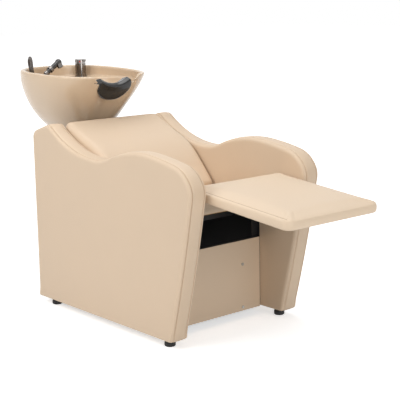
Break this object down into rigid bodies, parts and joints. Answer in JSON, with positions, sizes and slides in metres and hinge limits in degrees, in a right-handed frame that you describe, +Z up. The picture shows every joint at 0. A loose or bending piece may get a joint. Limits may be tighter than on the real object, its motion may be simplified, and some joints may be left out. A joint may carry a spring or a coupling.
{
  "type": "hair washing bed",
  "caption": "Upholstered backwash unit: padded seat between leather side panels, reclined back, swing-up leg rest and a tilting ceramic basin with neck rest, mixer tap and hand shower.",
  "frame": {"origin": "on the floor under the middle of the overall box, leg rest raised", "axes": "+Z up, the sitter faces -Y, the basin is towards +Y and the sitter's left is +X"},
  "size_m": [0.64, 1.7508, 1.0095],
  "materials": {
    "leather_panels": "satin",
    "leather_back": "satin",
    "leather_seat": "satin",
    "leather_leg_rest": "satin",
    "leather_front": "satin",
    "plywood": "matte",
    "rear_plastic": "matte",
    "ceramic": "gloss",
    "gel": "satin",
    "foot_rubber": "matte",
    "chrome": "polished",
    "brass": "satin",
    "trap_plastic": "satin",
    "mark_red": "gloss",
    "shower_black": "gloss",
    "spray_grey": "matte",
    "hose_black": "satin",
    "screw_steel": "satin",
    "frame_steel": "satin"
  },
  "bodies": {
    "base": {"back_board_lower": "plywood", "back_board_upper": "plywood", "back_cross_low": "frame_steel", "back_cross_mid": "frame_steel", "back_cross_top": "frame_steel", "back_cushion": "leather_back", "base_rails": "frame_steel", "basin_arms": "frame_steel", "feet": "foot_rubber", "front_cross_low": "frame_steel", "front_cross_mid": "frame_steel", "front_panel": "leather_front", "front_panel_screws": "screw_steel", "front_uprights": "frame_steel", "legrest_brackets": "frame_steel", "panel_core_left": "plywood", "panel_core_right": "plywood", "ratchet_discs": "screw_steel", "rear_cross_low": "frame_steel", "rear_cross_top": "frame_steel", "rear_panel": "rear_plastic", "rear_panel_screws": "screw_steel", "rear_uprights": "frame_steel", "seat_board": "plywood", "seat_cross_front": "frame_steel", "seat_cross_rear": "frame_steel", "seat_cushion": "leather_seat", "side_panel_left": "leather_panels", "side_panel_right": "leather_panels", "tilt_pin": "frame_steel", "tilt_washers": "trap_plastic"},
    "leg_rest": {"legrest_pad": "leather_leg_rest", "legrest_board": "plywood", "legrest_arm_left": "frame_steel", "legrest_arm_right": "frame_steel", "legrest_pins": "screw_steel"},
    "basin": {"basin": "ceramic", "neck_rest": "gel", "basin_cradle": "frame_steel", "drain_flange": "chrome", "drain_gasket": "foot_rubber", "drain_nut": "trap_plastic", "trap_body": "trap_plastic", "mixer_body": "chrome", "mixer_base_ring": "chrome", "mixer_nut": "brass", "hose_grommet": "shower_black", "shower_holder": "chrome", "shower_hose": "hose_black"},
    "tilt_lever": {"tilt_lever": "frame_steel"},
    "mixer_turret": {"mixer_turret": "chrome"},
    "mixer_lever": {"mixer_lever": "chrome", "mixer_mark": "mark_red"},
    "hand_shower": {"shower_handle": "shower_black", "shower_head": "chrome", "spray_face": "spray_grey", "hose_nut": "chrome"},
    "hair_strainer": {"hair_strainer": "chrome"}
  },
  "joints": [
    {"name": "leg_rest_swing", "type": "hinge", "parent": "base", "child": "leg_rest", "pos_m": [0, -0.36224, 0.5378], "axis": [1, 0, 0], "range_deg": [0, 84]},
    {"name": "basin_tilt", "type": "hinge", "parent": "base", "child": "basin", "pos_m": [0, 0.58, 0.655], "axis": [1, 0, 0], "range_deg": [-5, 8]},
    {"name": "tilt_lever_turn", "type": "hinge", "parent": "base", "child": "tilt_lever", "pos_m": [0.0843, 0.58, 0.655], "axis": [1, 0, 0], "range_deg": [-60, 0]},
    {"name": "mixer_swivel", "type": "hinge", "parent": "basin", "child": "mixer_turret", "pos_m": [0.122, 0.785, 0.964], "axis": [0, 0, 1], "range_deg": [-45, 45]},
    {"name": "mixer_lift", "type": "hinge", "parent": "mixer_turret", "child": "mixer_lever", "pos_m": [0.122, 0.8045, 0.9713], "axis": [1, 0, 0], "range_deg": [-22, 0]},
    {"name": "shower_lift", "type": "slide", "parent": "basin", "child": "hand_shower", "axis": [0.8192, 0, 0.5736], "range_m": [0, 0.1], "deforming": ["shower_hose"]},
    {"name": "strainer_lift", "type": "slide", "parent": "basin", "child": "hair_strainer", "axis": [0, 0, 1], "range_m": [0, 0.04]}
  ]
}
